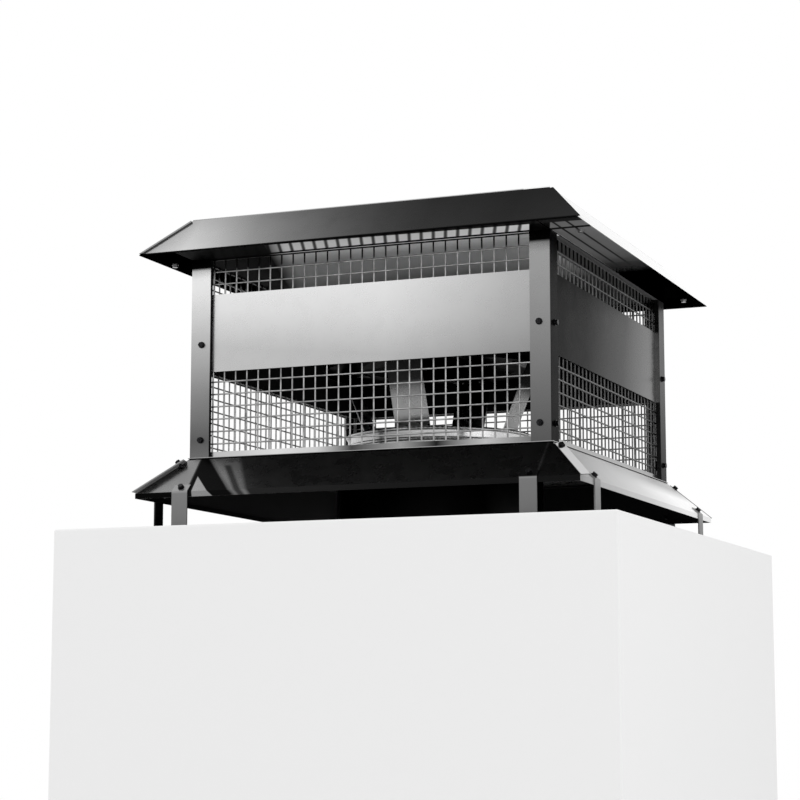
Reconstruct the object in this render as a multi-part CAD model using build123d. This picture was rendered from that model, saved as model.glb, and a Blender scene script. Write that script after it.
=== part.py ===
from build123d import *
import math
import os

os.makedirs("parts", exist_ok=True)

# Chimney termination cap in folded stainless sheet, in millimetres.
# X runs along the front from left to right, Y from front to back, Z up.
# The origin is under the middle of the cap, in the plane that the feet stand on.

# Sheet, strap and wire
sheet = 1.2
post_sheet = 1.5
bracket_sheet = 1.5
leg_sheet = 2.0
wire = 2.0
fit_gap = 0.2

# Housing: posts, bands and screens
body_width = 580.0
body_depth = 618.0
body_height = 309.0
post_width = 32.0
post_lip = 7.5
band_bottom = 133.5
band_height = 120.0
screen_pitch = 19.05
screen_depth = 3.6
lower_rows = 7
upper_rows = 3
rail_height = 9.0
rail_foot = 15.0
pan_ledge = 2.0

# Skirt and legs under the housing
leg_gap = 50.0
skirt_reach = 60.0
skirt_drop = 56.0
skirt_hem = 8.0
skirt_flange = 15.0
skirt_fin = 12.0
leg_width = 26.0
leg_foot = 26.0
leg_tab = 14.0
leg_inset = 16.0
foot_hole = 6.5

# Roof over the housing
roof_reach = 60.0
roof_drop = 61.0
roof_flange = 15.0
roof_return = 30.0
roof_fin = 4.0

# Flue parts inside
flue_bore = 203.0
flue_bottom = 20.0
flue_rise = 48.0
flue_socket = 88.0
flue_stop_height = 6.0
pipe_diameter = 330.0
pipe_bottom = 6.0
pipe_flange = 15.0
collar_diameter = 296.0
collar_rise = 54.0
collar_bead = 3.0
collar_bead_spacing = 16.0
collar_flange = 16.0
spacer_width = 20.0
spacer_tab = 12.0
spacer_height = 4.0
bracket_width = 58.0
bracket_tab = 20.0
bracket_foot_height = 5.0
bracket_rise = 140.0
bracket_flare = 57.0
bracket_top_tab = 26.0
cap_diameter = 374.0
cap_crown = 40.0
cap_seat_gap = 8.0
cap_rise = 24.0
cap_edge = 9.0

# Screws and rivets
screw_shank = 4.2
screw_head = 10.0
screw_hex = 7.5
washer_height = 1.2
hex_height = 3.6
hole_play = 0.2
post_screw_inset = 18.0
post_screw_low = 28.0
post_screw_high = 175.0
post_screw_length = 15.5
clip_width = 10.0
clip_height = 16.0
short_screw_length = 9.0
soffit_screw_inset = 19.0
soffit_screw_edge = 20.0
rib_screw_start = 20.0
rivet_shank = 3.2
rivet_head = 6.4
rivet_head_height = 1.4
rivet_tail = 1.2
collar_rivet_count = 8

# Levels and half widths that follow from them
skirt_bottom = leg_gap
base_level = skirt_bottom + skirt_hem + skirt_drop
pan_top = base_level + sheet
soffit_level = base_level + body_height
roof_level = soffit_level + sheet + roof_drop
half_width = body_width / 2
half_depth = body_depth / 2
band_plane = post_lip
screen_plane = band_plane + sheet

SIDES = {
    "front": (0, half_width, half_depth),
    "right": (90, half_depth, half_width),
    "back": (180, half_width, half_depth),
    "left": (270, half_depth, half_width),
}
# Looking out from the middle: outward is local x, up is local y, and the side runs across.
SECTION = Plane(origin=(0, 0, 0), x_dir=(0, -1, 0), z_dir=(-1, 0, 0))


def turned(shape, angle):
    return shape.rotate(Axis.Z, angle)


def bent_sheet(points, thickness):
    """Section of a folded strip. The points run along one face, the metal is on their right."""
    normals = []
    for (x1, y1), (x2, y2) in zip(points, points[1:]):
        length = math.hypot(x2 - x1, y2 - y1)
        normals.append(((y2 - y1) / length, (x1 - x2) / length))
    other_face = []
    for index, (x, y) in enumerate(points):
        nx1, ny1 = normals[max(index - 1, 0)]
        nx2, ny2 = normals[min(index, len(normals) - 1)]
        scale = thickness / (1 + nx1 * nx2 + ny1 * ny2)
        other_face.append((x + scale * (nx1 + nx2), y + scale * (ny1 + ny2)))
    return Polygon(*points, *reversed(other_face), align=None)


def side_strip(points, thickness, length):
    """A folded strip along the front, centred, with square ends."""
    return extrude(SECTION * bent_sheet(points, thickness), amount=length / 2, both=True)


def mitred(strip, half_length, reach, inner, outer):
    """Cut both ends of a front strip on the diagonals through the corners of the plan."""
    low = half_length + inner - reach
    high = half_length + outer - reach
    plan = Polygon((-low, -inner), (low, -inner), (high, -outer), (-high, -outer), align=None)
    return strip & extrude(plan, amount=roof_level + roof_reach, dir=(0, 0, 1))


def round_bar(diameter, bottom, top):
    return Pos(0, 0, bottom) * Cylinder(
        diameter / 2, top - bottom, align=(Align.CENTER, Align.CENTER, Align.MIN))


def spun_sheet(points, thickness):
    """Turn a folded section (radius, height) about the middle of the flue."""
    return revolve(Plane.XZ * bent_sheet(points, thickness), Axis.Z, 360)


def hex_screw(length):
    """Hex washer-head screw. The washer sits on the local plane, the shank points down."""
    washer = round_bar(screw_head, 0, washer_height)
    hexagon = Pos(0, 0, washer_height) * extrude(
        RegularPolygon(screw_hex / 2, 6, major_radius=False), amount=hex_height)
    return washer + hexagon + round_bar(screw_shank, -length, 0)


def blind_rivet(grip):
    """Blind rivet: domed head on the local plane, shank through the grip, set tail below it."""
    dome = round_bar(rivet_head, 0, rivet_head_height)
    dome = fillet(dome.edges().sort_by(Axis.Z)[-1:], rivet_head_height * 0.6)
    tail = round_bar(rivet_shank + 2 * hole_play, -grip - rivet_tail, -grip)
    return dome + round_bar(rivet_shank, -grip, 0) + tail


def pierce(shape, places, diameter, depth):
    """Drill clearance holes at the places, through the metal above and below each plane."""
    drill = round_bar(diameter + 2 * hole_play, -depth, depth)
    return shape - [place * drill for place in places]


def save(node, *solids):
    """Write one node. A node of several like pieces keeps them as separate solids."""
    flat = [solid for shape in solids for solid in shape.solids()]
    shape = flat[0] if len(flat) == 1 else Compound(children=flat)
    export_step(shape, f"parts/{node}.step")


# Flared panels: the skirt under the housing and the roof over it

def fin_plane(half_length, reach, out, drop, top):
    """Plane of the front panel's outer face, with its origin at the top of the right-hand hip.

    Local x runs down the hip, local y runs past it, over the neighbouring panel."""
    hip = Vector(out, -out, -drop).normalized()
    face = Vector(0, -drop, out).normalized()
    return Plane(origin=(half_length, -reach, top), x_dir=hip, z_dir=face)


def hip_length(out, drop):
    return math.sqrt(2 * out ** 2 + drop ** 2)


def hip_lean(out, drop):
    """How far the panel's lower edge runs down the hip for each step away from it."""
    return out / math.hypot(out, drop)


def fin_slab(half_length, reach, out, drop, top, width, root, depth):
    """Strip that follows the hip, one sheet thick, with its upper face at the given depth.

    Its lower end carries on the line of the panel's lower edge."""
    start = width / 2
    end = hip_length(out, drop) - 2 * sheet - depth
    lean = hip_lean(out, drop)
    outline = [
        (start, root),
        (end + lean * root, root),
        (end + lean * width, width),
        (start + width / 2, width),
    ]
    strip = Polygon(*outline, align=None)
    plane = fin_plane(half_length, reach, out, drop, top).offset(-depth)
    return extrude(plane * strip, amount=sheet, dir=-plane.z_dir)


def flared_panel(half_length, reach, out, drop, top, flange, width, tail_points):
    """A front panel: level top flange, slope, and the fold at its foot.

    Past the right-hand hip it runs on as a fin. At the left-hand hip its end is folded up
    under the fin of the neighbouring panel."""
    foot = (reach + out, top - drop)
    points = [(reach - flange, top), (reach, top), foot] + tail_points
    strip = side_strip(points, sheet, 2 * (half_length + out))
    panel = mitred(strip, half_length, reach, reach - flange, reach + out)
    root = -2 * sheet
    own_fin = fin_slab(half_length, reach, out, drop, top, width, root, 0)
    next_fin = turned(fin_slab(reach, half_length, out, drop, top, width, root, 0), -90)
    folded_end = turned(fin_slab(reach, half_length, out, drop, top, width, 0, sheet), -90)
    return panel + own_fin + folded_end - next_fin


def fin_screw_place(half_length, reach, out, drop, top, width):
    plane = fin_plane(half_length, reach, out, drop, top)
    return plane * Pos(rib_screw_start, width * 0.55, 0)


rib_places = []
skirt_panels = {}
for side, (turn, half_length, reach) in SIDES.items():
    hem = [(reach + skirt_reach, skirt_bottom)]
    panel = flared_panel(
        half_length, reach, skirt_reach, skirt_drop, base_level, skirt_flange, skirt_fin, hem)
    skirt_panels[side] = turned(panel, turn)
    place = fin_screw_place(half_length, reach, skirt_reach, skirt_drop, base_level, skirt_fin)
    rib_places.append(Rot(0, 0, turn) * place)

# Legs: folded straps with a tab on the slope and a foot on the deck

leg_shapes = {}
hem_top = skirt_bottom + skirt_hem
slope_length = math.hypot(skirt_reach, skirt_drop)
leg_screw_places = []
for side, (turn, half_length, reach) in SIDES.items():
    hem_face = reach + skirt_reach
    tab_end = (
        hem_face - leg_tab * skirt_reach / slope_length,
        hem_top + leg_tab * skirt_drop / slope_length,
    )
    points = [(hem_face + leg_foot, 0), (hem_face, 0), (hem_face, hem_top), tab_end]
    strap = side_strip(points, leg_sheet, leg_width)
    strap = strap - Pos(0, -hem_face - leg_foot / 2 - leg_sheet / 2, 0) * round_bar(
        foot_hole, -leg_sheet, 2 * leg_sheet)
    face = Vector(0, -skirt_drop, skirt_reach).normalized()
    middle = Vector(0, -(hem_face + tab_end[0]) / 2, (hem_top + tab_end[1]) / 2)
    middle = middle + face * leg_sheet
    for hand, shift in (("left", -1), ("right", 1)):
        across = shift * (half_length - leg_inset)
        plane = Plane(origin=middle + Vector(across, 0, 0), x_dir=(1, 0, 0), z_dir=face)
        place = Rot(0, 0, turn) * plane.location
        leg_screw_places.append(place)
        leg = turned(Pos(across, 0, 0) * strap, turn)
        leg_shapes[f"leg_{side}_{hand}"] = pierce(leg, [place], screw_shank, 2 * leg_sheet)

for name, leg in leg_shapes.items():
    save(name, leg)

rib_depth = short_screw_length + sheet
for side, panel in skirt_panels.items():
    panel = pierce(panel, rib_places, screw_shank, rib_depth)
    panel = pierce(panel, leg_screw_places, screw_shank, leg_sheet + 2 * sheet)
    save(f"skirt_panel_{side}", panel)

rib_screw = hex_screw(short_screw_length)
save("rib_screws", *[place * rib_screw for place in rib_places])
save("leg_screws", *[place * rib_screw for place in leg_screw_places])

# Base pan: the floor of the housing, with the round way for the flue

collar_outer = collar_diameter / 2
collar_inner = collar_outer - sheet
collar_rivet_radius = collar_outer + collar_flange / 2
collar_rivet_places = [
    Rot(0, 0, (index + 0.5) * 360 / collar_rivet_count) * Pos(collar_rivet_radius, 0, pan_top + sheet)
    for index in range(collar_rivet_count)
]
collar_grip = 3 * sheet
pan = Pos(0, 0, base_level) * Box(
    body_width + 2 * pan_ledge, body_depth + 2 * pan_ledge, sheet,
    align=(Align.CENTER, Align.CENTER, Align.MIN))
pan = pan - round_bar(2 * collar_inner, base_level - sheet, pan_top + sheet)
save("base_pan", pierce(pan, collar_rivet_places, rivet_shank, collar_grip))

# Corner posts: angles with a small return lip along each edge

post_places = []
for side, (turn, half_length, reach) in SIDES.items():
    section = bent_sheet(
        [(-post_lip, post_width), (0, post_width), (0, 0), (-post_width, 0), (-post_width, post_lip)],
        post_sheet)
    post = extrude(section, amount=soffit_level - pan_top, dir=(0, 0, 1))
    post_places.append((turn, Pos(half_length, -reach, pan_top) * post))

screw_places = []
clip_places = []
for side, (turn, half_length, reach) in SIDES.items():
    for hand in (-1, 1):
        for height, behind in ((post_screw_low, screen_plane + screen_depth),
                               (post_screw_high, screen_plane)):
            across = hand * (half_length - post_screw_inset)
            origin = (across, -reach, base_level + height)
            plane = Plane(origin=origin, x_dir=(1, 0, 0), z_dir=(0, -1, 0))
            screw_places.append(Rot(0, 0, turn) * plane.location)
            clip_places.append(Rot(0, 0, turn) * (plane.location * Pos(0, 0, -behind)))

post_names = ("front_right", "back_right", "back_left", "front_left")
post_drill = post_screw_length + 1
for name, (turn, post) in zip(post_names, post_places):
    save(f"corner_post_{name}", pierce(turned(post, turn), screw_places, screw_shank, post_drill))

clip = Pos(0, 0, -sheet) * Box(
    clip_width, clip_height, sheet, align=(Align.CENTER, Align.CENTER, Align.MIN))
clip = clip - round_bar(screw_shank + 2 * hole_play, -2 * sheet, sheet)
save("clip_nuts", *[place * clip for place in clip_places])
save("post_screws", *[place * hex_screw(post_screw_length) for place in screw_places])

# Bottom rails, wind bands and wire screens, from post to post

def wire_screen(half_length, reach, bottom, rows):
    """Welded wire screen as one holed plate, with a wire along each edge."""
    widest = half_length - screen_plane - screen_depth - fit_gap - wire / 2
    columns = int(2 * widest / screen_pitch)
    width = columns * screen_pitch + wire
    height = rows * screen_pitch + wire
    gap = screen_pitch - wire
    holes = [
        (place * Rectangle(gap, gap)).wire()
        for place in GridLocations(screen_pitch, screen_pitch, columns, rows)
    ]
    face = Face(Rectangle(width, height).wire(), holes)
    plane = Plane(
        origin=(0, -(reach - screen_plane), bottom + height / 2), x_dir=(1, 0, 0), z_dir=(0, -1, 0))
    return extrude(plane * face, amount=screen_depth, dir=-plane.z_dir)


lower_screen_bottom = pan_top + sheet
upper_screen_bottom = soffit_level - upper_rows * screen_pitch - wire
for side, (turn, half_length, reach) in SIDES.items():
    band_face = reach - band_plane
    rail_points = [
        (band_face, pan_top + rail_height),
        (band_face, pan_top),
        (band_face - rail_foot, pan_top),
    ]
    rail = side_strip(rail_points, sheet, 2 * half_length)
    rail = mitred(rail, half_length - fit_gap, reach, band_face - rail_foot, band_face)
    save(f"bottom_rail_{side}", turned(rail, turn))

    band_half = half_length - screen_plane - fit_gap
    low = base_level + band_bottom
    band = Pos(0, -band_face + sheet / 2, low) * Box(
        2 * band_half, sheet, band_height, align=(Align.CENTER, Align.CENTER, Align.MIN))
    save(f"wind_band_{side}", pierce(turned(band, turn), screw_places, screw_shank, post_drill))

    lower = wire_screen(half_length, reach, lower_screen_bottom, lower_rows)
    upper = wire_screen(half_length, reach, upper_screen_bottom, upper_rows)
    save(f"screen_lower_{side}", pierce(turned(lower, turn), screw_places, screw_shank, post_drill))
    save(f"screen_upper_{side}", turned(upper, turn))

# Roof: soffit sheet, four sloped panels and the flat top

eave_level = soffit_level + sheet
soffit_screw_places = []
for side in ("left", "right"):
    turn, half_length, reach = SIDES[side]
    for hand in (-1, 1):
        across = hand * (half_length - soffit_screw_inset)
        along = reach + roof_reach - soffit_screw_edge
        plane = Plane(origin=(across, -along, soffit_level), x_dir=(1, 0, 0), z_dir=(0, 0, -1))
        soffit_screw_places.append(Rot(0, 0, turn) * plane.location)

soffit_drill = 3 * sheet
soffit = Pos(0, 0, soffit_level) * Box(
    body_width + 2 * roof_reach, body_depth + 2 * roof_reach, sheet,
    align=(Align.CENTER, Align.CENTER, Align.MIN))
save("roof_soffit", pierce(soffit, soffit_screw_places, screw_shank, soffit_drill))
save("soffit_screws", *[place * rib_screw for place in soffit_screw_places])

for side, (turn, half_length, reach) in SIDES.items():
    eave = reach + roof_reach
    panel = flared_panel(
        half_length, reach, roof_reach, roof_drop, roof_level, roof_flange, roof_fin,
        [(eave - roof_return, eave_level)])
    save(f"roof_panel_{side}", pierce(turned(panel, turn), soffit_screw_places, screw_shank, soffit_drill))

roof_top = Pos(0, 0, roof_level) * Box(
    body_width, body_depth, sheet, align=(Align.CENTER, Align.CENTER, Align.MIN))
save("roof_top", roof_top)

# Outer pipe, flue collar and inner flue

pipe_outer = pipe_diameter / 2
pipe_points = [
    (pipe_outer - pipe_flange, base_level), (pipe_outer, base_level), (pipe_outer, pipe_bottom)]
outer_pipe = spun_sheet(pipe_points, sheet)
save("outer_pipe", pierce(outer_pipe, collar_rivet_places, rivet_shank, collar_grip + rivet_tail))

collar_top = pan_top + collar_rise
collar = spun_sheet(
    [(collar_inner, collar_top), (collar_inner, pan_top), (collar_outer + collar_flange, pan_top)][::-1],
    sheet)
for bead_level in (collar_top - collar_bead, collar_top - collar_bead - collar_bead_spacing):
    bead = Plane.XZ * Pos(collar_outer, bead_level) * Circle(collar_bead)
    collar = collar + revolve(bead, Axis.Z, 360)
collar = collar - round_bar(2 * collar_inner, pan_top - sheet, collar_top + sheet)
save("flue_collar", pierce(collar, collar_rivet_places, rivet_shank, collar_grip))
save("collar_rivets", *[place * blind_rivet(collar_grip) for place in collar_rivet_places])

flue_inner = flue_bore / 2
flue_outer = flue_inner + sheet
flue_top = base_level + flue_rise
inner_flue = round_bar(2 * flue_outer, flue_bottom, flue_top)
inner_flue = inner_flue - round_bar(flue_bore, flue_bottom - sheet, flue_top + sheet)

# A narrow ring inside the inner flue stops the chimney's pipe short of the rivets above it.
stop_bottom = flue_bottom + flue_socket
stop_top = stop_bottom + flue_stop_height
flue_stop = round_bar(flue_bore, stop_bottom, stop_top)
inner_flue = inner_flue + (flue_stop - round_bar(flue_bore - 2 * sheet, stop_bottom, stop_top))

# Rain cap over the flue, on four flared brackets

bracket_low = base_level + bracket_foot_height
bracket_bend = bracket_low + bracket_tab
bracket_high = bracket_bend + bracket_rise
bracket_radius = flue_outer + bracket_flare
bracket_points = [
    (flue_outer, bracket_low),
    (flue_outer, bracket_bend),
    (bracket_radius, bracket_high),
    (bracket_radius - bracket_top_tab, bracket_high),
]
foot_grip = sheet + bracket_sheet
foot_rivet_plane = Plane(
    origin=(0, -flue_outer - bracket_sheet, (bracket_low + bracket_bend) / 2),
    x_dir=(1, 0, 0), z_dir=(0, -1, 0))
cap_level = bracket_high + bracket_sheet
foot_rivet_places = []
top_rivet_places = []
for turn, _, _ in SIDES.values():
    foot_rivet_places.append(Rot(0, 0, turn) * foot_rivet_plane.location)
    for shift in (-1, 1):
        spot = Pos(shift * bracket_width / 4, -bracket_radius + bracket_top_tab / 2, cap_level + sheet)
        top_rivet_places.append(Rot(0, 0, turn) * spot)

bracket_drill = bracket_sheet + sheet + rivet_tail
save("inner_flue", pierce(inner_flue, foot_rivet_places, rivet_shank, bracket_drill))
for side, (turn, _, _) in SIDES.items():
    bracket = turned(side_strip(bracket_points, bracket_sheet, bracket_width), turn)
    bracket = pierce(bracket, foot_rivet_places + top_rivet_places, rivet_shank, bracket_drill)
    save(f"cap_bracket_{side}", bracket)

cap_radius = cap_diameter / 2
cap_points = [
    (0, cap_level + cap_rise + sheet),
    (cap_crown / 2, cap_level + cap_rise + sheet),
    (bracket_radius - bracket_top_tab - cap_seat_gap, cap_level + sheet),
    (cap_radius, cap_level + sheet),
    (cap_radius, cap_level + sheet - cap_edge),
]
rain_cap = spun_sheet(cap_points, sheet)
save("rain_cap", pierce(rain_cap, top_rivet_places, rivet_shank, bracket_drill))
save("bracket_rivets",
     *[place * blind_rivet(foot_grip) for place in foot_rivet_places + top_rivet_places])

# Spacers that hold the inner flue in the middle of the collar

spacer_outer = math.sqrt(collar_inner ** 2 - (spacer_width / 2) ** 2)
spacer_level = pan_top + spacer_height
spacer_points = [
    (flue_outer, spacer_level + spacer_tab),
    (flue_outer, spacer_level),
    (spacer_outer, spacer_level),
    (spacer_outer, spacer_level + spacer_tab),
]
spacer = side_strip(spacer_points[::-1], sheet, spacer_width)
for name, turn in zip(post_names, (45, 135, 225, 315)):
    save(f"flue_spacer_{name}", turned(spacer, turn))
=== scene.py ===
import math

import bpy
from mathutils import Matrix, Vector


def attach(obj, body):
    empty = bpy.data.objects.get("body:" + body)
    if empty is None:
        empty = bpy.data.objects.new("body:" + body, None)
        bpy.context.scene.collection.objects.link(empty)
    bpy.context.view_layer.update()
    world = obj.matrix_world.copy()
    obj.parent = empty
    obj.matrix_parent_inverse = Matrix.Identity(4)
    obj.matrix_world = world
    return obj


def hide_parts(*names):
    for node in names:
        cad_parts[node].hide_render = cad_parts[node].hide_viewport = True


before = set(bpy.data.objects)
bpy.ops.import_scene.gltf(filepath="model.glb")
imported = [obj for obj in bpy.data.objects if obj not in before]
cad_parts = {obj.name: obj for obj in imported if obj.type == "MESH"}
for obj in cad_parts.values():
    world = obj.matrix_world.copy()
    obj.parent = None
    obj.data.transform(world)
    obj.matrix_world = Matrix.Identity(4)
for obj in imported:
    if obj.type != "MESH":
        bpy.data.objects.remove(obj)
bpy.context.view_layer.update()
bpy.ops.object.select_all(action="DESELECT")

# Base pan. One flat stainless sheet with a round hole, spot welded to the feet of the
# four corner posts. It carries the bottom rails and closes the housing from below.


def linear(hexcode):
    """An sRGB hex colour as the linear values that shaders use."""
    made = []
    for start in (0, 2, 4):
        part = int(hexcode[start:start + 2], 16) / 255
        made.append(part / 12.92 if part <= 0.04045 else ((part + 0.055) / 1.055) ** 2.4)
    return (*made, 1.0)


def add_node(tree, kind, options, inputs):
    """Add a shader node, set its options or its colour stops, and link or set its inputs."""
    made = tree.nodes.new("ShaderNode" + kind)
    for key, value in options.items():
        if key == "stops":
            elements = made.color_ramp.elements
            elements[0].position, elements[0].color = value[0][0], linear(value[0][1])
            elements[1].position, elements[1].color = value[-1][0], linear(value[-1][1])
            for place, colour in value[1:-1]:
                elements.new(place).color = linear(colour)
        else:
            setattr(made, key, value)
    for key, value in inputs.items():
        if isinstance(value, bpy.types.NodeSocket):
            tree.links.new(value, made.inputs[key])
        else:
            made.inputs[key].default_value = value
    return made


RIGHT, LEFT, BACK, FRONT = (1, 0, 0), (-1, 0, 0), (0, 1, 0), (0, -1, 0)
UP, DOWN = (0, 0, 1), (0, 0, -1)
SHARP = 0.0002


def along(tree, coords, direction, low, high):
    """How far a point lies along a direction, from 0 at low to 1 at high, both in metres."""
    reach = add_node(tree, "VectorMath", {"operation": "DOT_PRODUCT"}, {0: coords, 1: direction})
    share = add_node(tree, "MapRange", {},
                     {"Value": reach.outputs["Value"], "From Min": low, "From Max": high})
    return share.outputs["Result"]


def past(tree, coords, limits, edge):
    """1 where a point lies past every limit (direction, level), and 0 elsewhere."""
    mask = 1.0
    for direction, level in limits:
        step = along(tree, coords, direction, level, level + edge)
        made = add_node(tree, "Math", {"operation": "MULTIPLY"}, {0: mask, 1: step})
        mask = made.outputs["Value"]
    return mask


def sheet_metal(name, gradient, second=None, patches=(), roughness=0.27, waves=0.1, sheen="ffffff"):
    """Bright rolled stainless sheet. A gradient is (direction, low, high, colour stops): a painted
    reflection, the tone that the sheet takes from what it faces. A patch is (limits, edge, colour,
    dull): a place given its own painted reflection or painted shade, and, where dull, a rough film
    that is not metallic. Sheen is how much of the light the sheet throws back at a low angle;
    without one it follows the tone."""
    material = bpy.data.materials.new(name)
    material.use_nodes = True
    tree = material.node_tree
    shader = tree.nodes["Principled BSDF"]
    coords = add_node(tree, "TexCoord", {}, {}).outputs["Object"]
    # Sheet this thin is never flat: shallow dents some 120 mm across shift its painted
    # reflections and bump it.
    dents = add_node(tree, "TexNoise", {}, {"Vector": coords, "Scale": 8.0, "Detail": 1.0})
    shift = add_node(tree, "Math", {"operation": "MULTIPLY_ADD"},
                     {0: dents.outputs["Fac"], 1: waves, 2: -waves / 2})
    *span, stops = gradient
    place = add_node(tree, "Math", {"operation": "ADD"},
                     {0: along(tree, coords, *span), 1: shift.outputs["Value"]})
    tone = add_node(tree, "ValToRGB", {"stops": stops}, {"Fac": place.outputs["Value"]})
    colour = tone.outputs["Color"]
    if second:
        *span, stops = second
        shade = add_node(tree, "ValToRGB", {"stops": stops}, {"Fac": along(tree, coords, *span)})
        tone = add_node(tree, "VectorMath", {"operation": "MULTIPLY"},
                        {0: colour, 1: shade.outputs["Color"]})
        colour = tone.outputs["Vector"]
    film = None
    for limits, edge, hexcode, dull in patches:
        mask = past(tree, coords, limits, edge)
        if hexcode:
            tone = add_node(tree, "Mix", {"data_type": "RGBA"},
                            {0: mask, 6: colour, 7: linear(hexcode)})
            colour = tone.outputs[2]
        if dull:
            made = add_node(tree, "Math", {"operation": "MAXIMUM"}, {0: film or 0.0, 1: mask})
            film = made.outputs["Value"]
    # Water marks and handling smears, 30 mm across and finer.
    smears = add_node(tree, "TexNoise", {},
                      {"Vector": coords, "Scale": 33.0, "Detail": 6.0, "Roughness": 0.6})
    faint = add_node(tree, "ValToRGB", {"stops": [(0.3, "fbfbfb"), (0.62, "ffffff")]},
                     {"Fac": smears.outputs["Fac"]})
    tone = add_node(tree, "VectorMath", {"operation": "MULTIPLY"},
                    {0: colour, 1: faint.outputs["Color"]})
    colour = tone.outputs["Vector"]
    rough = add_node(tree, "MapRange", {},
                     {"Value": smears.outputs["Fac"], "From Min": 0.3, "From Max": 0.7,
                      "To Min": roughness - 0.05, "To Max": roughness + 0.08}).outputs["Result"]
    shader.inputs["Metallic"].default_value = 1.0
    if film:
        # A dull film, as under painted shade, is rough, not metallic, and has almost no gloss.
        rough = add_node(tree, "MapRange", {},
                         {"Value": film, "To Min": rough, "To Max": 0.75}).outputs["Result"]
        metal = add_node(tree, "Math", {"operation": "SUBTRACT"}, {0: 1.0, 1: film})
        gloss = add_node(tree, "MapRange", {}, {"Value": film, "To Min": 0.5, "To Max": 0.05})
        tree.links.new(metal.outputs["Value"], shader.inputs["Metallic"])
        tree.links.new(gloss.outputs["Result"], shader.inputs["Specular IOR Level"])
    # Rolling lines about 0.5 mm apart, along the length of the coil.
    lines = add_node(tree, "VectorMath", {"operation": "MULTIPLY"},
                     {0: coords, 1: (30.0, 30.0, 2000.0)})
    lines = add_node(tree, "TexNoise", {}, {"Vector": lines.outputs["Vector"], "Scale": 1.0})
    relief = add_node(tree, "Math", {"operation": "MULTIPLY_ADD"},
                      {0: lines.outputs["Fac"], 1: 0.004, 2: dents.outputs["Fac"]})
    bump = add_node(tree, "Bump", {},
                    {"Strength": 0.6, "Distance": 0.002, "Height": relief.outputs["Value"]})
    tree.links.new(colour, shader.inputs["Base Color"])
    tree.links.new(rough, shader.inputs["Roughness"])
    tree.links.new(bump.outputs["Normal"], shader.inputs["Normal"])
    if sheen:
        shader.inputs["Specular Tint"].default_value = linear(sheen)
    else:
        bright = add_node(tree, "VectorMath", {"operation": "SCALE"}, {0: colour, "Scale": 3.0})
        capped = add_node(tree, "VectorMath", {"operation": "MINIMUM"},
                          {0: bright.outputs["Vector"], 1: (1, 1, 1)})
        tree.links.new(capped.outputs["Vector"], shader.inputs["Specular Tint"])
    return material


def painted_dull_shade(*limits):
    """A dull black patch of painted shade, on a face turned inwards or downwards."""
    return (limits, SHARP, "0b0b0c", True)


def dress(material, *nodes):
    """Give CAD nodes a material in place of their plain one."""
    for name in nodes:
        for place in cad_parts[name].material_slots:
            place.material = material


PAN_UNDER, PAN_TOP = 0.1140, 0.1152
# Painted shade on the pan's underside; its top face is lighter.
pan_finish = sheet_metal(
    "bright_sheet_pan",
    (UP, PAN_UNDER, PAN_TOP, [(0.0, "0c0c0d"), (0.5, "8c8c8c"), (1.0, "c4c4c4")]),
    waves=0.0)
dress(pan_finish, "base_pan")

# Outer pipe, flue collar, inner flue and its spacers. Rolled sheet cylinders. The collar
# has two rolled beads and is riveted through the pan to the pipe's inward flange.

PIPE_RADIUS = 0.165
CORNERS = ("front_right", "back_right", "back_left", "front_left")
# The collar, inner flue and spacers carry painted highlights in bands along the beads.
collar_finish = sheet_metal(
    "bright_sheet_collar",
    ((0.35, -0.2, 0.9), 0.05, 0.21,
     [(0.0, "8a8a8a"), (0.45, "d8d8d8"), (0.7, "9a9a9a"), (1.0, "f0f0f0")]),
    roughness=0.2)
# The outer pipe is painted nearly black as painted shade, with painted highlights at its sides.
pipe_finish = sheet_metal(
    "painted_shade_pipe",
    ((1, 0.2, 0), -PIPE_RADIUS, PIPE_RADIUS,
     [(0.0, "3a3a3a"), (0.1, "0d0d0d"), (0.3, "050505"), (0.6, "121212"), (0.8, "060606"),
      (1.0, "303030")]),
    roughness=0.32, sheen="404040")
dress(collar_finish, "flue_collar", "inner_flue")
dress(collar_finish, *[f"flue_spacer_{corner}" for corner in CORNERS])
dress(pipe_finish, "outer_pipe")

# Rain cap and its four brackets. Flat straps, bent outwards and riveted to the inner flue,
# carry a spun cone with a turned-down edge above the mouth of the flue.

SIDES = ("front", "right", "back", "left")
BRACKET_FOOT, BRACKET_HEAD = 0.115, 0.285
BRIM, CROWN = 0.272, 0.306
# The brackets are bright below and carry painted shade from the cap at their heads.
bracket_finish = sheet_metal(
    "bright_sheet_bracket",
    (UP, BRACKET_FOOT, BRACKET_HEAD,
     [(0.0, "b8b8b8"), (0.3, "d8d8d8"), (0.62, "c4c4c4"), (0.76, "2c2c2c"), (1.0, "101010")]),
    sheen="b0b0b0")
# The cap is painted nearly black as painted shade, a little lighter towards the crown.
cap_finish = sheet_metal(
    "painted_shade_cap",
    (UP, BRIM, CROWN, [(0.0, "0c0c0c"), (0.5, "121212"), (1.0, "202020")]),
    roughness=0.38, sheen="909090")
dress(bracket_finish, *[f"cap_bracket_{side}" for side in SIDES])
dress(cap_finish, "rain_cap")

# Skirt. Four flared panels with a folded hem; each hip is closed by a standing fin that
# laps the next panel and takes one screw. Dull underneath, with painted shade.

HALF_WIDTH, HALF_DEPTH = 0.290, 0.309
FLARE = 0.0594
SLOPE_OUT, SLOPE_UP = 0.6823, 0.7311
HIP = 0.7071
HEM_TOP = (UP, 0.0575, 0.0585)
OUTWARD = {"front": FRONT, "right": RIGHT, "back": BACK, "left": LEFT}
REACH = {"front": HALF_DEPTH, "right": HALF_WIDTH, "back": HALF_DEPTH, "left": HALF_WIDTH}


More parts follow.
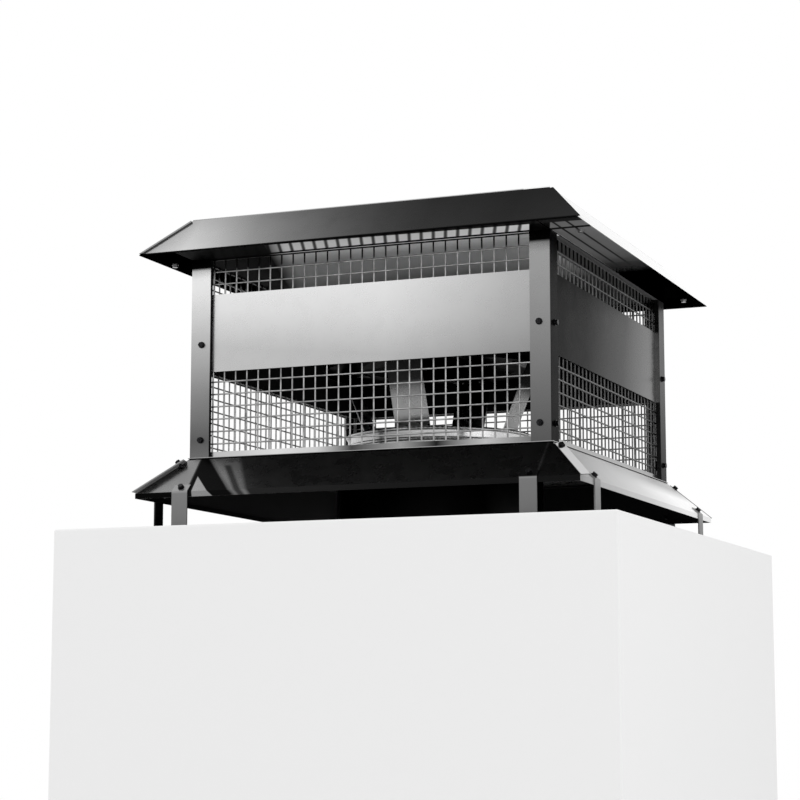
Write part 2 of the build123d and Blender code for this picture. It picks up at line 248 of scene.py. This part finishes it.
def underside(side):
    """Limits of the lower faces of a skirt panel: inside its slope and inside its hem."""
    x, y, _ = OUTWARD[side]
    slope = (-SLOPE_OUT * x, -SLOPE_OUT * y, -SLOPE_UP)
    edge = -SLOPE_OUT * REACH[side] - SLOPE_UP * PAN_UNDER
    return [(slope, edge + 0.0005), ((-x, -y, 0), -REACH[side] - FLARE)]


# The front panel faces downwards and is painted nearly black, a reflection of the dark below
# it, but for a painted wavy reflection of the post, painted light caught by its left corner,
# and painted reflections on the fins at its hips.
front_painted_light_and_shade = [
    # The painted reflection of the left post, and the painted dark gap that splits it.
    ([((0.670, 0, 0.742), -0.0890), ((-0.814, 0, -0.581), 0.0980)], 0.006, "6a6a6a", False),
    ([((0.740, 0, 0.673), -0.1000), ((-0.740, 0, -0.673), 0.0880), (DOWN, -0.1020)],
     0.004, "343434", False),
    # Left of it, painted reflections: a dark strip, the bright corner, and a bright triangle at
    # the strip's foot.
    ([((0.993, 0, 0.113), -0.2550), ((-0.670, 0, -0.742), 0.0869)], 0.002, "0e0e0e", False),
    ([((-0.993, 0, -0.113), 0.2550)], 0.002, "787878", False),
    ([((0.992, 0, 0.128), -0.2462), ((-0.654, 0, -0.757), 0.1058)], 0.001, "888888", False),
    # Painted shade on the left end of the hem.
    ([(DOWN, -0.0582), (LEFT, 0.2620)], 0.0005, "0a0a0a", False),
    # Painted reflections: a faint line before the right hip, the fin at that hip, and the fin at
    # the left one.
    ([(RIGHT, 0.2825), (LEFT, -0.2875)], 0.002, "464646", False),
    ([((HIP, HIP, 0), -0.0128)], 0.001, "d0d0d0", True),
    ([((0, -SLOPE_OUT, SLOPE_UP), 0.2946), (LEFT, 0.25)], SHARP, "808080", True),
]
# Its painted reflection is a little lighter to the left, and its hem is painted darker.
skirt_front_finish = sheet_metal(
    "bright_sheet_skirt_front",
    (RIGHT, -0.36, 0.36, [(0.0, "383838"), (0.3, "343434"), (0.6, "282828"), (1.0, "202020")]),
    second=(*HEM_TOP, [(0.0, "c0c0c0"), (1.0, "ffffff")]),
    patches=front_painted_light_and_shade + [painted_dull_shade(*underside("front"))], waves=0.02, sheen="c1c1c1")
# The right panel carries a bright painted reflection, a little less bright far back near its
# upper edge, its hem a little darker, and a dark painted reflection on its far fin.
skirt_right_finish = sheet_metal(
    "bright_sheet_skirt_right",
    (BACK, -0.38, 0.38,
     [(0.0, "989898"), (0.12, "bcbcbc"), (0.5, "e0e0e0"), (0.75, "ffffff"), (1.0, "ffffff")]),
    second=(*HEM_TOP, [(0.0, "ececec"), (1.0, "ffffff")]),
    patches=[([((0, 0.0667, 0), -0.0067), (UP, 0.0800)], 0.02, "bebebe", False),
             ([((-HIP, HIP, 0), 0.0138)], 0.001, "505050", False),
             painted_dull_shade(*underside("right"))],
    roughness=0.45, waves=0.05)
# The left and back panels carry a mild painted reflection that changes across them, and the left
# panel's fin at the front hip is painted grey.
hidden_skirt = ((1, 1, 0), -0.5, 0.5, [(0.0, "7c7c7c"), (0.5, "a4a4a4"), (1.0, "8c8c8c")])
skirt_left_finish = sheet_metal(
    "bright_sheet_skirt_left", hidden_skirt,
    patches=[painted_dull_shade(*underside("left")), ([((HIP, -HIP, 0), 0.0132)], 0.0005, "9c9c9c", True)])
skirt_back_finish = sheet_metal(
    "bright_sheet_skirt_back", hidden_skirt, patches=[painted_dull_shade(*underside("back"))])
dress(skirt_front_finish, "skirt_panel_front")
dress(skirt_right_finish, "skirt_panel_right")
dress(skirt_back_finish, "skirt_panel_back")
dress(skirt_left_finish, "skirt_panel_left")

# Legs. Eight straps of thicker sheet, bent at the foot and on the slope of the skirt,
# where one screw holds each; the feet have a hole for one more screw.

STRAP_BEND, STRAP_HEAD = 0.058, 0.075
# Lit and shaded copies of one finish: painted light towards the straps' heads, painted shade on the
# left pair, and the front right strap painted darker above its bend, on the slope.
leg_finish = sheet_metal(
    "satin_strap", (UP, 0.0, STRAP_HEAD, [(0.0, "707070"), (0.6, "828282"), (1.0, "a4a4a4")]),
    roughness=0.42, waves=0.03)
front_leg_finish = sheet_metal(
    "satin_strap_front",
    (UP, 0.0, STRAP_BEND, [(0.0, "707070"), (0.95, "787878"), (1.0, "8a8a8a")]),
    second=(UP, 0.0578, 0.0592, [(0.0, "ffffff"), (1.0, "3a3a3a")]),
    roughness=0.42, waves=0.03, sheen="c1c1c1")
left_leg_finish = sheet_metal(
    "satin_strap_left", (UP, 0.0, STRAP_HEAD, [(0.0, "202020"), (1.0, "505050")]),
    roughness=0.42, waves=0.03, sheen="404040")
corner_leg_finish = sheet_metal(
    "satin_strap_corner",
    (UP, 0.0, STRAP_BEND, [(0.0, "747474"), (0.95, "7c7c7c"), (1.0, "929292")]),
    roughness=0.42, waves=0.03, sheen="c1c1c1")
dress(front_leg_finish, "leg_front_right")
dress(corner_leg_finish, "leg_front_left")
dress(leg_finish, "leg_right_left", "leg_right_right", "leg_back_left", "leg_back_right")
dress(left_leg_finish, "leg_left_left", "leg_left_right")

# Bottom rails. Small angles of bright sheet that lie on the pan along each screen's foot.
# Their painted reflection of what is around them runs in lighter and darker lengths.

rail_finish = sheet_metal(
    "bright_sheet_rail",
    (RIGHT, -0.31, 0.31,
     [(0.0, "b4b4b4"), (0.15, "c6c6c6"), (0.26, "dcdcdc"), (0.37, "cccccc"), (0.46, "444444"),
      (0.59, "969696"), (0.68, "1c1c1c"), (0.8, "bcbcbc"), (0.92, "707070"), (1.0, "c0c0c0")]),
    roughness=0.2, waves=0.02)
dress(rail_finish, *[f"bottom_rail_{side}" for side in SIDES])

# Corner posts. Angles with a small return lip along both edges, standing on the pan and
# screwed through bands and screens into clip nuts. The eave keeps their heads dark.

POST = (UP, 0.115, 0.423)
INSIDE_X, INSIDE_Y = 0.2893, 0.3083
BAND_FOOT, BAND_HEAD = 0.2475, 0.3675
post_shadow = ([(UP, 0.4050)], 0.004, "060606", False)
# Each post carries a painted reflection that changes with height, and painted shade on its inner
# faces; the two front posts carry the eave's painted shadow on their heads, and the near post's
# right face is painted darker.
left_post_finish = sheet_metal(
    "bright_sheet_left_post",
    (*POST, [(0.0, "6b6b6b"), (0.08, "5c5c5c"), (0.3, "848484"), (0.6, "bababa"),
             (0.9, "eeeeee"), (1.0, "acacac")]),
    patches=[post_shadow, painted_dull_shade((RIGHT, -INSIDE_X), (BACK, -INSIDE_Y))], waves=0.03)
near_post_finish = sheet_metal(
    "bright_sheet_near_post",
    (*POST, [(0.0, "575757"), (0.25, "6e6e6e"), (0.55, "888888"), (0.9, "9e9e9e"),
             (1.0, "6a6a6a")]),
    second=(RIGHT, 0.2885, 0.2895, [(0.0, "ffffff"), (1.0, "444444")]),
    patches=[post_shadow, painted_dull_shade((LEFT, -INSIDE_X), (BACK, -INSIDE_Y))],
    waves=0.03, sheen="bdbdbd")
# The far post is painted dark on its inner side, but for a painted reflection on its lip at the
# height of the band.
far_post_finish = sheet_metal(
    "bright_sheet_far_post",
    (*POST, [(0.0, "303030"), (0.25, "585858"), (0.55, "767676"), (0.8, "7c7c7c"),
             (1.0, "686868")]),
    patches=[([(LEFT, -INSIDE_X), (FRONT, -0.3080)], 0.0003, "2c2c2c", False),
             ([(LEFT, -INSIDE_X), (FRONT, -0.2900), (UP, BAND_FOOT), (DOWN, -BAND_HEAD)],
              0.0003, "787878", False)],
    waves=0.03, sheen="bdbdbd")
back_post_finish = sheet_metal(
    "bright_sheet_back_post", (*POST, [(0.0, "686868"), (0.5, "8c8c8c"), (1.0, "a4a4a4")]),
    patches=[painted_dull_shade((RIGHT, -INSIDE_X), (FRONT, -INSIDE_Y))], waves=0.03)
dress(left_post_finish, "corner_post_front_left")
dress(near_post_finish, "corner_post_front_right")
dress(far_post_finish, "corner_post_back_right")
dress(back_post_finish, "corner_post_back_left")

# Lower and upper screens. Welded square mesh of 2 mm stainless wire at 19.05 mm, with the
# upright wires on the inside and a flattened weld at every crossing.

WIRE_RADIUS = 0.001
PITCH = 0.01905
SCREEN_FACE, SCREEN_DEPTH, FIT_GAP = 0.0087, 0.0036, 0.0002
UPRIGHT_DEPTH, WELD_DEPTH = 0.0026, 0.0018
LOWER_FOOT, LOWER_ROWS = 0.1164, 7
UPPER_FOOT, UPPER_ROWS = 0.36385, 3
SCREEN_SIDES = {
    "front": (0, HALF_WIDTH, HALF_DEPTH),
    "right": (90, HALF_DEPTH, HALF_WIDTH),
    "back": (180, HALF_WIDTH, HALF_DEPTH),
    "left": (270, HALF_DEPTH, HALF_WIDTH),
}


def wire_metal():
    """Drawn stainless wire, bright and a little rough, tinted here and there by the welds,
    with painted shade on the top rows and on the screens on the right.
    """
    material = bpy.data.materials.new("bright_welded_wire")
    material.use_nodes = True
    tree = material.node_tree
    shader = tree.nodes["Principled BSDF"]
    coords = add_node(tree, "TexCoord", {}, {}).outputs["Object"]
    # Drawing marks and heat tint: lighter and darker lengths some 15 mm long.
    marks = add_node(tree, "TexNoise", {}, {"Vector": coords, "Scale": 65.0, "Detail": 3.0})
    tone = add_node(tree, "ValToRGB", {"stops": [(0.3, "828282"), (0.7, "b8b8b8")]},
                    {"Fac": marks.outputs["Fac"]})
    colour = tone.outputs["Color"]
    # Painted shade: the topmost rows lie in the dark under the soffit, and the screens on the
    # right face the darker side.
    for span, darker in (((UP, 0.402, 0.408), "303030"), ((RIGHT, 0.278, 0.279), "888888")):
        shade = add_node(tree, "ValToRGB", {"stops": [(0.0, "ffffff"), (1.0, darker)]},
                         {"Fac": along(tree, coords, *span)})
        tone = add_node(tree, "VectorMath", {"operation": "MULTIPLY"},
                        {0: colour, 1: shade.outputs["Color"]})
        colour = tone.outputs["Vector"]
    fine = add_node(tree, "TexNoise", {}, {"Vector": coords, "Scale": 1500.0})
    bump = add_node(tree, "Bump", {},
                    {"Strength": 0.3, "Distance": 0.0001, "Height": fine.outputs["Fac"]})
    tree.links.new(colour, shader.inputs["Base Color"])
    tree.links.new(bump.outputs["Normal"], shader.inputs["Normal"])
    shader.inputs["Metallic"].default_value = 1.0
    shader.inputs["Roughness"].default_value = 0.34
    return material


def repeat(piece, count, step):
    """Array a piece along a step, from where the piece was modelled."""
    bpy.context.view_layer.objects.active = piece
    row = piece.modifiers.new("row", "ARRAY")
    row.use_relative_offset = False
    row.use_constant_offset = True
    row.count = count
    row.constant_offset_displace = step
    bpy.ops.object.modifier_apply(modifier=row.name)


def wire(length, upright):
    """One cut length of wire with slightly rounded cut ends, lying across or standing up."""
    bpy.ops.mesh.primitive_cylinder_add(vertices=10, radius=WIRE_RADIUS, depth=length)
    piece = bpy.context.object
    bpy.ops.object.mode_set(mode="EDIT")
    bpy.ops.mesh.select_all(action="DESELECT")
    bpy.ops.mesh.select_face_by_sides(number=10)
    bpy.ops.mesh.inset(thickness=0.0003, depth=0.0002)
    if not upright:
        bpy.ops.mesh.select_all(action="SELECT")
        bpy.ops.transform.rotate(value=math.pi / 2, orient_axis="Y", center_override=(0, 0, 0))
    bpy.ops.object.mode_set(mode="OBJECT")
    return piece


def screen(name, side, bottom, rows, finish):
    """A welded screen for one side, modelled across the front and turned to its side."""
    turn, half_length, reach = SCREEN_SIDES[side]
    widest = half_length - SCREEN_FACE - SCREEN_DEPTH - FIT_GAP - WIRE_RADIUS
    columns = int(2 * widest / PITCH)
    width, height = columns * PITCH, rows * PITCH
    face = -(reach - SCREEN_FACE)
    middle = bottom + WIRE_RADIUS + height / 2
    uprights = wire(height + 2 * WIRE_RADIUS, True)
    bpy.ops.transform.translate(value=(-width / 2, face + UPRIGHT_DEPTH, middle))
    repeat(uprights, columns + 1, (PITCH, 0, 0))
    bpy.ops.object.select_all(action="DESELECT")
    across = wire(width + 2 * WIRE_RADIUS, False)
    bpy.ops.transform.translate(value=(0, face + WIRE_RADIUS, middle - height / 2))
    repeat(across, rows + 1, (0, 0, PITCH))
    bpy.ops.object.select_all(action="DESELECT")
    bpy.ops.mesh.primitive_ico_sphere_add(subdivisions=1, radius=0.0013)
    weld = bpy.context.object
    bpy.ops.object.mode_set(mode="EDIT")
    bpy.ops.mesh.select_all(action="SELECT")
    bpy.ops.transform.resize(value=(1, 0.55, 1), center_override=(0, 0, 0))
    bpy.ops.object.mode_set(mode="OBJECT")
    bpy.ops.transform.translate(value=(-width / 2, face + WELD_DEPTH, middle - height / 2))
    repeat(weld, columns + 1, (PITCH, 0, 0))
    repeat(weld, rows + 1, (0, 0, PITCH))
    bpy.ops.object.select_all(action="DESELECT")
    for part in (uprights, across, weld):
        part.select_set(True)
    bpy.context.view_layer.objects.active = uprights
    bpy.ops.object.join()
    piece = bpy.context.object
    piece.name = piece.data.name = name
    bpy.ops.object.transform_apply(location=True, rotation=True, scale=True)
    piece.rotation_euler = (0, 0, math.radians(turn))
    bpy.ops.object.transform_apply(location=True, rotation=True, scale=True)
    bpy.ops.object.shade_smooth_by_angle(angle=math.radians(50))
    piece.data.materials.append(finish)
    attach(piece, "root")
    bpy.ops.object.select_all(action="DESELECT")
    return piece


wire_finish = wire_metal()
for side in SCREEN_SIDES:
    lower = screen(f"lower_wires_{side}", side, LOWER_FOOT, LOWER_ROWS, wire_finish)
    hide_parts(f"screen_lower_{side}")
    upper = screen(f"upper_wires_{side}", side, UPPER_FOOT, UPPER_ROWS, wire_finish)
    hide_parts(f"screen_upper_{side}")

# Wind bands. One plain sheet a side, behind the post lips. Outside they carry painted
# reflections, bright, the right one dark towards the front; the inner faces, past the middle
# of each sheet, carry painted shade.

band_front_finish = sheet_metal(
    "bright_sheet_band_front",
    (RIGHT, -0.262, 0.27,
     [(0.0, "f2f2f2"), (0.55, "e6e6e6"), (0.75, "cecece"), (0.9, "b8b8b8"), (1.0, "acacac")]),
    second=((0.1, 0, 1), 0.26, 0.38, [(0.0, "cacaca"), (0.5, "ececec"), (1.0, "ffffff")]),
    patches=[painted_dull_shade((BACK, -0.3011))], waves=0.03)
band_right_finish = sheet_metal(
    "bright_sheet_band_right",
    ((0, 1, -0.2), -0.36, 0.24,
     [(0.0, "161616"), (0.3, "303030"), (0.65, "6a6a6a"), (1.0, "b0b0b0")]),
    patches=[painted_dull_shade((LEFT, -0.2819))], waves=0.04, sheen="bdbdbd")
band_back_finish = sheet_metal(
    "bright_sheet_band_back", (RIGHT, -0.28, 0.28, [(0.0, "a0a0a0"), (1.0, "c0c0c0")]),
    patches=[painted_dull_shade((FRONT, -0.3009))], waves=0.05)
band_left_finish = sheet_metal(
    "bright_sheet_band_left", (BACK, -0.3, 0.3, [(0.0, "c8c8c8"), (1.0, "9c9c9c")]),
    patches=[painted_dull_shade((RIGHT, -0.2819))], waves=0.05)
dress(band_front_finish, "wind_band_front")
dress(band_right_finish, "wind_band_right")
dress(band_back_finish, "wind_band_back")
dress(band_left_finish, "wind_band_left")

# Roof. A soffit sheet on the posts, four sloped panels folded under at the eave and
# seamed at the hips, and a flat top sheet. Their tones are painted reflections; the inner
# and lower faces carry the darkest painted shade.

OVERHANG_X, OVERHANG_Y = 0.2905, 0.3085
TO_LEFT_END, FROM_LEFT_END = (-0.947, -0.320, 0), (0.947, 0.320, 0)
soffit_patches = [
    # A dull film, keeping the painted tones, over the inside of the housing and along the front.
    ([(RIGHT, -0.2890), (LEFT, -0.2890), (FRONT, -0.3080)], SHARP, None, True),
    # Painted shade on the left end, the overhang on the left, and the spot in front of the near
    # right post.
    ([(TO_LEFT_END, 0.2200)], 0.03, "080808", False),
    ([(LEFT, OVERHANG_X)], 0.001, "1c1c1c", False),
    ([(FROM_LEFT_END, 0.1454), (TO_LEFT_END, -0.1757), (FRONT, OVERHANG_Y)],
     0.0005, "040404", False),
    # Painted shade inside, along the screens on the right.
    ([(RIGHT, 0.2450), (LEFT, -OVERHANG_X), (BACK, -0.2620)], 0.002, "585858", False),
    # The overhang on the right: painted shade, black, at the back, filmed in front, with a soft
    # change between them, and two dark lines of painted reflection along its front half.
    ([(RIGHT, OVERHANG_X), ((0, 0.0167, 0), -0.0015)], 0.002, "040404", False),
    ([(RIGHT, OVERHANG_X), ((0, -0.0167, 0), -0.0005)], 0.002, None, True),
    ([(RIGHT, 0.3050), (LEFT, -0.3100), (FRONT, 0.0000)], 0.001, "242424", False),
    ([(RIGHT, 0.3250), (LEFT, -0.3300), (FRONT, 0.0000)], 0.001, "242424", False),
    # Painted shade on the overhang at the back, on a strip near the front edge, on the dark line
    # where the front screen meets the soffit, and on the front edge itself.
    ([(BACK, OVERHANG_Y)], 0.001, "040404", False),
    ([((0.0365, -0.9993, 0), 0.3596)], 0.001, "1c1c1c", False),
    ([(FRONT, 0.3030), (BACK, -0.3150)], 0.001, "0c0c0c", False),
    ([(FRONT, 0.3660)], 0.0005, "060606", False),
]
# Painted light towards the front, painted shade towards the back, and a greyer right overhang.
soffit_finish = sheet_metal(
    "bright_sheet_soffit",
    (RIGHT, -0.36, 0.36,
     [(0.0, "e8e8e8"), (0.5, "f0f0f0"), (0.902, "ffffff"), (0.905, "7c7c7c"), (1.0, "7c7c7c")]),
    second=(BACK, -0.37, 0.38,
            [(0.0, "dcdcdc"), (0.08, "ffffff"), (0.3, "f4f4f4"), (0.43, "b8b8b8"),
             (0.56, "484848"), (0.75, "1c1c1c"), (1.0, "0c0c0c")]),
    patches=soffit_patches, roughness=0.07, waves=0.0, sheen=None)
# Along the front, dark bars are painted as a reflection of the screen's wires, one to every
# opening.
BARS_ACROSS, BAR_STEP, FIRST_BAR = (0.932, 0.362, 0), 0.932 * PITCH, 0.10777
tree = soffit_finish.node_tree
coords = add_node(tree, "TexCoord", {}, {}).outputs["Object"]
reach = add_node(tree, "VectorMath", {"operation": "DOT_PRODUCT"}, {0: coords, 1: BARS_ACROSS})
place = add_node(tree, "Math", {"operation": "ADD"},
                 {0: reach.outputs["Value"], 1: FIRST_BAR + BAR_STEP / 2})
place = add_node(tree, "Math", {"operation": "PINGPONG"},
                 {0: place.outputs["Value"], 1: BAR_STEP / 2})
gaps = add_node(tree, "MapRange", {},
                {"Value": place.outputs["Value"], "From Min": 0.0012, "From Max": 0.0036})
strip = past(tree, coords, [(FRONT, 0.3090), (LEFT, -0.2890)], SHARP)
bars = add_node(tree, "Math", {"operation": "MULTIPLY_ADD"}, {0: strip, 1: -0.9, 2: 1.0})
bars = add_node(tree, "Math", {"operation": "MAXIMUM"},
                {0: bars.outputs["Value"], 1: gaps.outputs["Result"]})
shader = tree.nodes["Principled BSDF"]
barred = add_node(tree, "VectorMath", {"operation": "SCALE"},
                  {0: shader.inputs["Base Color"].links[0].from_socket,
                   "Scale": bars.outputs["Value"]})
tree.links.new(barred.outputs["Vector"], shader.inputs["Base Color"])
# A painted reflection, light at the left and dark to the right, a little darker higher up, with
# painted shade along the panel's lower edge.
roof_front_finish = sheet_metal(
    "bright_sheet_roof_front",
    (RIGHT, -0.35, 0.35,
     [(0.0, "8e8e8e"), (0.11, "bcbcbc"), (0.16, "b0b0b0"), (0.21, "9e9e9e"), (0.26, "8a8a8a"),
      (0.34, "747474"), (0.44, "5c5c5c"), (0.55, "444444"), (0.66, "343434"),
      (0.85, "2a2a2a"), (1.0, "2e2e2e")]),
    second=(UP, 0.43, 0.48, [(0.0, "ffffff"), (1.0, "e4e4e4")]),
    patches=[([(DOWN, -0.4262)], 0.0003, "0c0c0c", False)],
    waves=0.02, sheen="c1c1c1")
# The right panel carries a bright painted reflection, the back and left ones a duller one.
roof_right_finish = sheet_metal(
    "bright_sheet_roof_right",
    (BACK, -0.37, 0.37, [(0.0, "d0d0d0"), (0.1, "f4f4f4"), (1.0, "ffffff")]), waves=0.05)
roof_back_finish = sheet_metal(
    "bright_sheet_roof_back", (RIGHT, -0.36, 0.36, [(0.0, "9a9a9a"), (1.0, "6c6c6c")]))
# The top sheet carries a mild painted reflection and a painted highlight at its low right end.
roof_top_finish = sheet_metal(
    "bright_sheet_roof_top",
    ((1, 0.4, 0), -0.4, 0.4, [(0.0, "a4a4a4"), (0.5, "bcbcbc"), (1.0, "989898")]),
    patches=[([(DOWN, -0.4863), (RIGHT, 0.25)], SHARP, "ffffff", False)])
dress(soffit_finish, "roof_soffit")
dress(roof_front_finish, "roof_panel_front")
dress(roof_right_finish, "roof_panel_right")
dress(roof_back_finish, "roof_panel_back", "roof_panel_left")
dress(roof_top_finish, "roof_top")

# Screws, clip nuts and rivets. Dark coated hex washer-head screws hold posts, hips and
# legs; bright stainless fasteners hold the soffit, the collar and the brackets.


def fastener_metal(name, low, high, roughness):
    """Steel in two tones: a worn dark coating, or bare stainless with rubbed spots."""
    material = bpy.data.materials.new(name)
    material.use_nodes = True
    tree = material.node_tree
    shader = tree.nodes["Principled BSDF"]
    coords = add_node(tree, "TexCoord", {}, {}).outputs["Object"]
    # Wear in patches of 2 mm on a head 10 mm across.
    worn = add_node(tree, "TexNoise", {}, {"Vector": coords, "Scale": 480.0, "Detail": 4.0})
    tone = add_node(tree, "ValToRGB", {"stops": [(0.35, low), (0.7, high)]},
                    {"Fac": worn.outputs["Fac"]})
    bump = add_node(tree, "Bump", {},
                    {"Strength": 0.3, "Distance": 0.0002, "Height": worn.outputs["Fac"]})
    tree.links.new(tone.outputs["Color"], shader.inputs["Base Color"])
    tree.links.new(bump.outputs["Normal"], shader.inputs["Normal"])
    shader.inputs["Metallic"].default_value = 1.0
    shader.inputs["Roughness"].default_value = roughness
    return material


screw_finish = fastener_metal("dark_coated_screw", "161617", "303032", 0.4)
rivet_finish = fastener_metal("stainless_rivet", "8a8a8a", "b4b4b4", 0.32)
dress(screw_finish, "post_screws", "rib_screws", "leg_screws", "clip_nuts")
dress(rivet_finish, "soffit_screws", "collar_rivets", "bracket_rivets")

# Studio. A plain pale block under the feet stands on a plain pale floor; soft light comes
# from a wide lamp over the camera's left and a weaker one from the right.

FLOOR_LEVEL = -0.9
BLOCK_MIDDLE, BLOCK_SIZE, BLOCK_EDGE = -0.4505, (0.864, 0.930, 0.899), 0.003


def pale(name, shade):
    """A rough, nearly white paint."""
    material = bpy.data.materials.new(name)
    material.use_nodes = True
    shader = material.node_tree.nodes["Principled BSDF"]
    shader.inputs["Base Color"].default_value = linear(shade)
    shader.inputs["Roughness"].default_value = 0.9
    return material


bpy.ops.mesh.primitive_plane_add(size=10, location=(0, 0, FLOOR_LEVEL))
floor = bpy.context.object
floor.name = "floor"
floor.data.materials.append(pale("pale_floor", "f4f4f4"))
bpy.ops.mesh.primitive_cube_add(size=1, location=(0, 0, BLOCK_MIDDLE))
block = bpy.context.object
block.name = "block"
block.scale = BLOCK_SIZE
bpy.ops.object.transform_apply(location=True, rotation=True, scale=True)
bevel = block.modifiers.new("edge", "BEVEL")
bevel.width = BLOCK_EDGE
bevel.segments = 3
bpy.ops.object.modifier_apply(modifier="edge")
block.data.materials.append(pale("pale_block", "f4f4f4"))

# The camera and the metal see the world as white; on everything else it is a little weaker.
world = bpy.context.scene.world or bpy.data.worlds.new("world")
bpy.context.scene.world = world
world.use_nodes = True
tree = world.node_tree
tree.nodes.clear()
path = add_node(tree, "LightPath", {}, {})
seen = add_node(tree, "Math", {"operation": "MAXIMUM"},
                {0: path.outputs["Is Camera Ray"], 1: path.outputs["Is Glossy Ray"]})
seen = add_node(tree, "Math", {"operation": "MAXIMUM"},
                {0: seen.outputs["Value"], 1: path.outputs["Is Transmission Ray"]})
soft = add_node(tree, "Background", {}, {"Color": (1, 1, 1, 1), "Strength": 0.8})
white = add_node(tree, "Background", {}, {"Color": (1, 1, 1, 1), "Strength": 1.0})
mixed = add_node(tree, "MixShader", {},
                 {0: seen.outputs["Value"], 1: soft.outputs[0], 2: white.outputs[0]})
add_node(tree, "OutputWorld", {}, {"Surface": mixed.outputs[0]})

LAMPS_AIM = Vector((0, 0, 0.25))
for name, place, size, power in (("key", (-2.6, -1.6, 3.4), 4.0, 40),
                                 ("fill", (2.8, -1.4, 1.8), 3.0, 20)):
    bpy.ops.object.light_add(type="AREA", location=place)
    lamp = bpy.context.object
    lamp.name = name
    lamp.data.size = size
    lamp.data.energy = power
    lamp.rotation_euler = (LAMPS_AIM - Vector(place)).to_track_quat("-Z", "Y").to_euler()

LOOKS_UP, TURNED_LEFT = 0.14290, 0.38690
bpy.ops.object.camera_add(location=(1.23686, -3.20703, -0.26406))
camera = bpy.context.object
camera.rotation_euler = (math.pi / 2 + LOOKS_UP, 0, TURNED_LEFT)
camera.data.lens = 96.859
camera.data.sensor_width = 36
bpy.context.scene.camera = camera

bpy.context.scene.view_settings.view_transform = "Standard"
